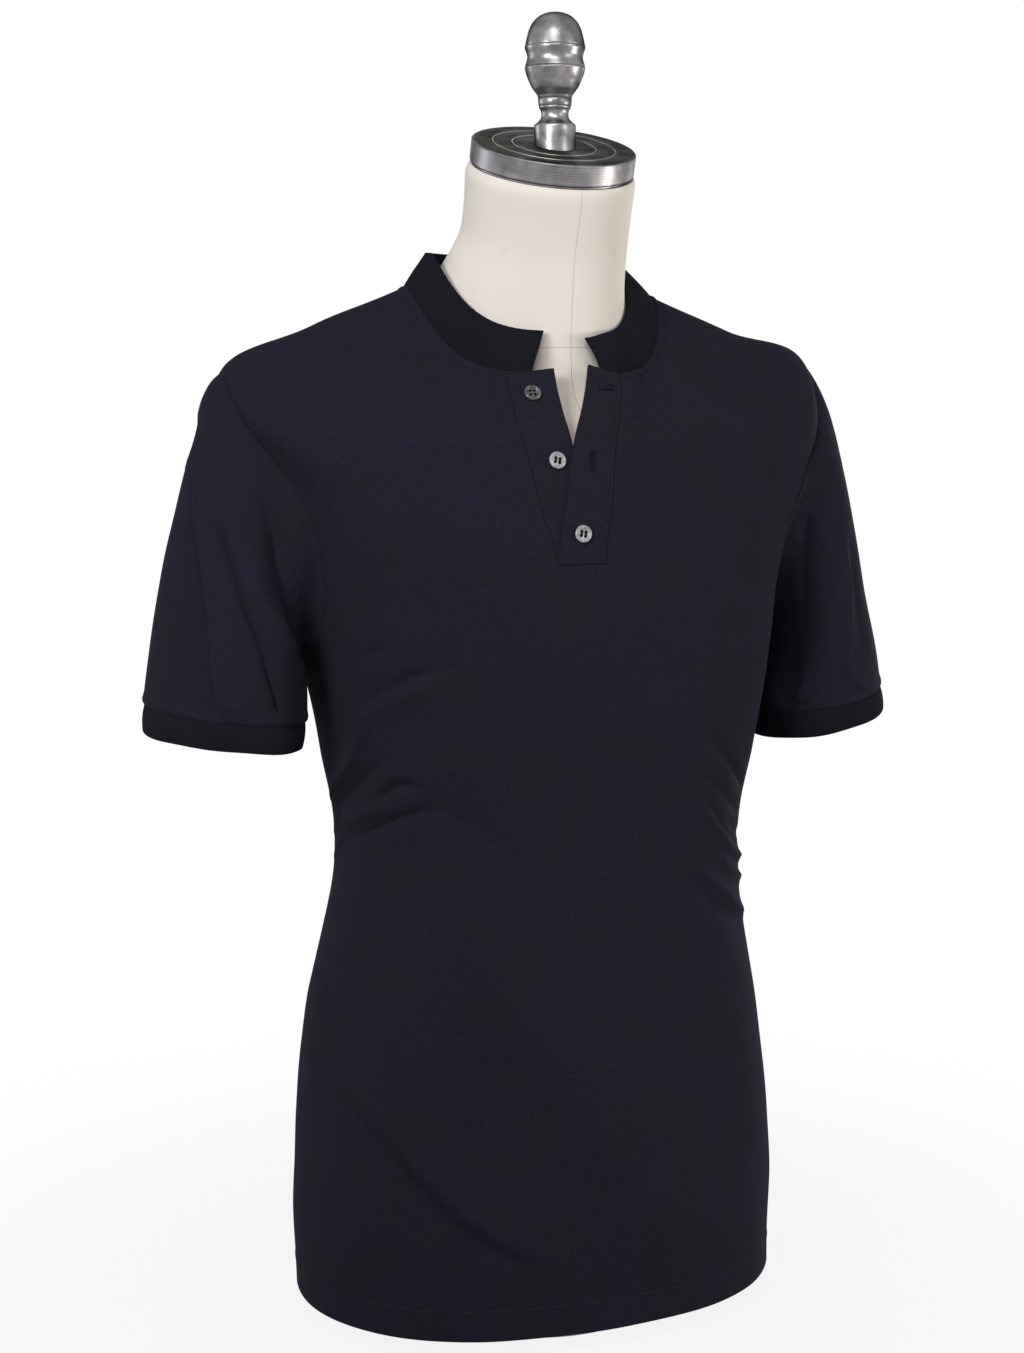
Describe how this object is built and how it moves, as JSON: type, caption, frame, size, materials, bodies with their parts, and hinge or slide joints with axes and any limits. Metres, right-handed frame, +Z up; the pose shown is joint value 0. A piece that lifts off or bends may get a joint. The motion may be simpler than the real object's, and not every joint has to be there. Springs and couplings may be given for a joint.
{
  "type": "polo shirt on dress form",
  "caption": "Short-sleeved knit polo shirt with a ribbed band collar and open button placket, worn by a limbless tabletop dress form.",
  "frame": {"origin": "centre of the round foot's underside, on the surface that the dress form stands on", "axes": "+Z up, -Y towards the shirt's front, +X towards the wearer's left"},
  "size_m": [0.5416, 0.2576, 0.893],
  "materials": {
    "pique": "dark navy cotton pique knit, matt",
    "rib": "near-black ribbed knit, matt",
    "shell": "smoky grey, polished",
    "canvas": "cream cotton canvas, tightly stretched",
    "metal": "spun and cast metal, satin"
  },
  "bodies": {
    "root": {"front": "pique", "back": "pique", "sleeve_left": "pique", "sleeve_right": "pique", "button_strip": "pique", "hole_strip": "pique", "collar_band": "rib", "cuff_left": "rib", "cuff_right": "rib", "button_top": "shell", "button_middle": "shell", "button_bottom": "shell", "form_body": "canvas", "form_cap": "metal", "form_finial": "metal", "form_column": "metal", "form_foot": "metal"}
  },
  "joints": []
}
